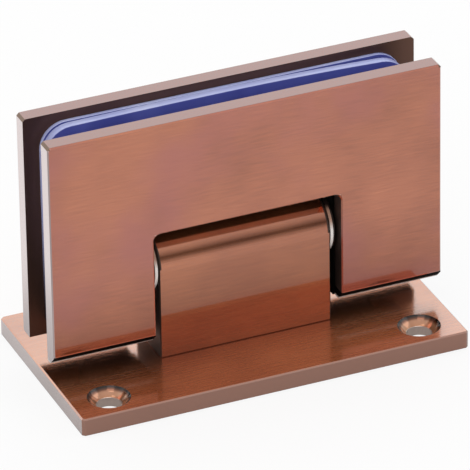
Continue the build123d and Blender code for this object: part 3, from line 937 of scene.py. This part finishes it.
round_wire = add(t, "GeometryNodeCurvePrimitiveCircle", inputs={"Resolution": 12, "Radius": wire}).outputs[0]
drawn = add(t, "GeometryNodeCurveToMesh", inputs={
    "Curve": coil, "Profile Curve": round_wire, "Fill Caps": True}).outputs[0]
at = split(t, add(t, "GeometryNodeInputPosition").outputs[0])
held = sum_of(t, "MINIMUM", sum_of(t, "MAXIMUM", at["Z"], given["Bottom"]), given["Top"])
ground = add(t, "GeometryNodeSetPosition", inputs={
    0: drawn, "Position": joined(t, at["X"], at["Y"], held)}).outputs[0]
pair = add(t, "GeometryNodeMeshLine", {"mode": "OFFSET"}, {
    "Count": 2, "Start Location": joined(t, sum_of(t, "MULTIPLY", given["Spacing"], -0.5)),
    "Offset": joined(t, given["Spacing"])})
placed = add(t, "GeometryNodeInstanceOnPoints", inputs={"Points": pair.outputs[0], "Instance": ground})
close_tree(t, placed.outputs[0], spring_wire, made)
spring_nodes = ("detent_spring_left", "detent_spring_right")
spring_low, spring_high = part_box(spring_nodes[0])
spring_sizes = {
    "Wire Radius": 0.4 * MM, "Coil Radius": 2.5 * MM, "Turns": 6.5,
    "Bottom": spring_low.z, "Top": spring_high.z, "Spacing": middle(*spring_nodes)[1]}
grow("wound_detent_springs", spring_tree, spring_sizes, "wall_side", spring_nodes, sharp_angle=50)

# %% [markdown]
# ## Gasket sheets
#
# Three sheets line the slot: a thin one on the front plate, and a thin and a thick one on
# the back plate, so that two glass thicknesses fit. They are stamped from one die, a
# rectangle with round top corners and a gap for the lugs. The outline could be drawn by
# hand three times. One tree places the eight corners from named sizes, rounds each by its
# own radius, fills the outline at the sheet's back and grows it forward by its thickness.
# It also marks the cut edges for the vinyl. The thick sheet is loose until the glass is
# in, so its two ends bow forward a little.

# %% Gasket tree
corner_points = 10
sheet_tree, given, made = new_tree("stamped_sheet", (
    "Half Width", "Foot", "Top", "Lug Half Width", "Lug Top", "Corner Radius", "Foot Radius", "Lug Radius",
    "Back Y", "Thickness"))
t = sheet_tree
corner_count = 8
half_width, lug_half = given["Half Width"], given["Lug Half Width"]
minus_half, minus_lug = (sum_of(t, "MULTIPLY", v, -1.0) for v in (half_width, lug_half))
outline = add(t, "GeometryNodeMeshToCurve", inputs={
    0: add(t, "GeometryNodeMeshLine", {"mode": "OFFSET"}, {
        "Count": corner_count, "Offset": (0, 0, 1 * MM)}).outputs[0]}).outputs[0]
corners = (
    (minus_half, "Foot", "Foot Radius"), (minus_lug, "Foot", "Foot Radius"),
    (minus_lug, "Lug Top", "Lug Radius"), (lug_half, "Lug Top", "Lug Radius"),
    (lug_half, "Foot", "Foot Radius"), (half_width, "Foot", "Foot Radius"),
    (half_width, "Top", "Corner Radius"), (minus_half, "Top", "Corner Radius"),
)
corner_index = add(t, "GeometryNodeInputIndex").outputs[0]
spots = add(t, "GeometryNodeIndexSwitch", {"data_type": "VECTOR"}, {"Index": corner_index})
radii = add(t, "GeometryNodeIndexSwitch", {"data_type": "FLOAT"}, {"Index": corner_index})
while len(spots.index_switch_items) < corner_count:
    spots.index_switch_items.new()
    radii.index_switch_items.new()
for i, (x, level, bend) in enumerate(corners):
    t.links.new(joined(t, x, 0.0, given[level]), spots.inputs[i + 1])
    t.links.new(given[bend], radii.inputs[i + 1])
laid = add(t, "GeometryNodeSetPosition", inputs={0: outline, "Position": spots.outputs[0]}).outputs[0]
ring = add(t, "GeometryNodeSetSplineCyclic", inputs={0: laid, "Cyclic": True}).outputs[0]
rounded = add(t, "GeometryNodeFilletCurve", {"mode": "POLY"}, {
    "Curve": ring, "Count": corner_points, "Radius": radii.outputs[0], "Limit Radius": True}).outputs[0]
flat_down = add(t, "GeometryNodeTransform", inputs={
    "Geometry": rounded, "Rotation": (-math.pi / 2, 0, 0)}).outputs[0]
filled = add(t, "GeometryNodeFillCurve", {"mode": "NGONS"}, {0: flat_down}).outputs[0]
upright = add(t, "GeometryNodeTransform", inputs={
    "Geometry": filled, "Rotation": (math.pi / 2, 0, 0)}).outputs[0]
at_back = add(t, "GeometryNodeSetPosition", inputs={
    0: upright, "Offset": joined(t, 0.0, given["Back Y"])}).outputs[0]
thick = add(t, "GeometryNodeExtrudeMesh", inputs={
    "Mesh": at_back, "Offset Scale": given["Thickness"], "Individual": False}).outputs[0]
both = add(t, "GeometryNodeJoinGeometry")
t.links.new(thick, both.inputs[0])
t.links.new(add(t, "GeometryNodeFlipFaces", inputs={"Mesh": at_back}).outputs[0], both.inputs[0])
welded = add(t, "GeometryNodeMergeByDistance", inputs={0: both.outputs[0], "Distance": weld}).outputs[0]
facing = split(t, add(t, "GeometryNodeInputNormal").outputs[0])
# Only side faces that do not face down are marked, so the edges at the foot get no painted highlight.
on_side = sum_of(t, "LESS_THAN", sum_of(t, "ABSOLUTE", facing["Y"]), 0.5)
is_edge = sum_of(t, "MULTIPLY", on_side, sum_of(t, "GREATER_THAN", facing["Z"], -0.5))
marked = add(t, "GeometryNodeStoreNamedAttribute", {"data_type": "FLOAT", "domain": "FACE"}, {
    "Geometry": welded, "Name": "cut_edge", "Value": is_edge}).outputs[0]
close_tree(t, marked, vinyl, made)

lug_clearance, lug_cut_height = 1.4 * MM, 35.5 * MM
loose_bow = (0.7 * MM, 2.0 * MM)
die = {
    "Lug Half Width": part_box("pivot_pin")[1].x + lug_clearance,
    "Lug Top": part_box("back_clamp_plate")[0].z + lug_cut_height,
    "Corner Radius": 6.0 * MM, "Foot Radius": 2.5 * MM, "Lug Radius": 3.4 * MM}
for name, node, bow in (
    ("front_sheet", "gasket_front", None),
    ("rear_thin_sheet", "gasket_rear_thin", None),
    ("rear_thick_sheet", "gasket_rear_thick", loose_bow),
):
    low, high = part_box(node)
    sizes = {**die, "Half Width": high.x, "Foot": low.z, "Top": high.z,
             "Back Y": high.y, "Thickness": high.y - low.y}
    grow(name, sheet_tree, sizes, "glass_clamp", (node,),
         sharp_angle=40, soft_edge=0.2 * MM, bow=bow)

# %% [markdown]
# ## Sizes
#
# The size of the dressed hinge is printed in millimetres.

# %% Sizes
low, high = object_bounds()
print("visual size in mm:", [round(v / MM, 2) for v in high - low])
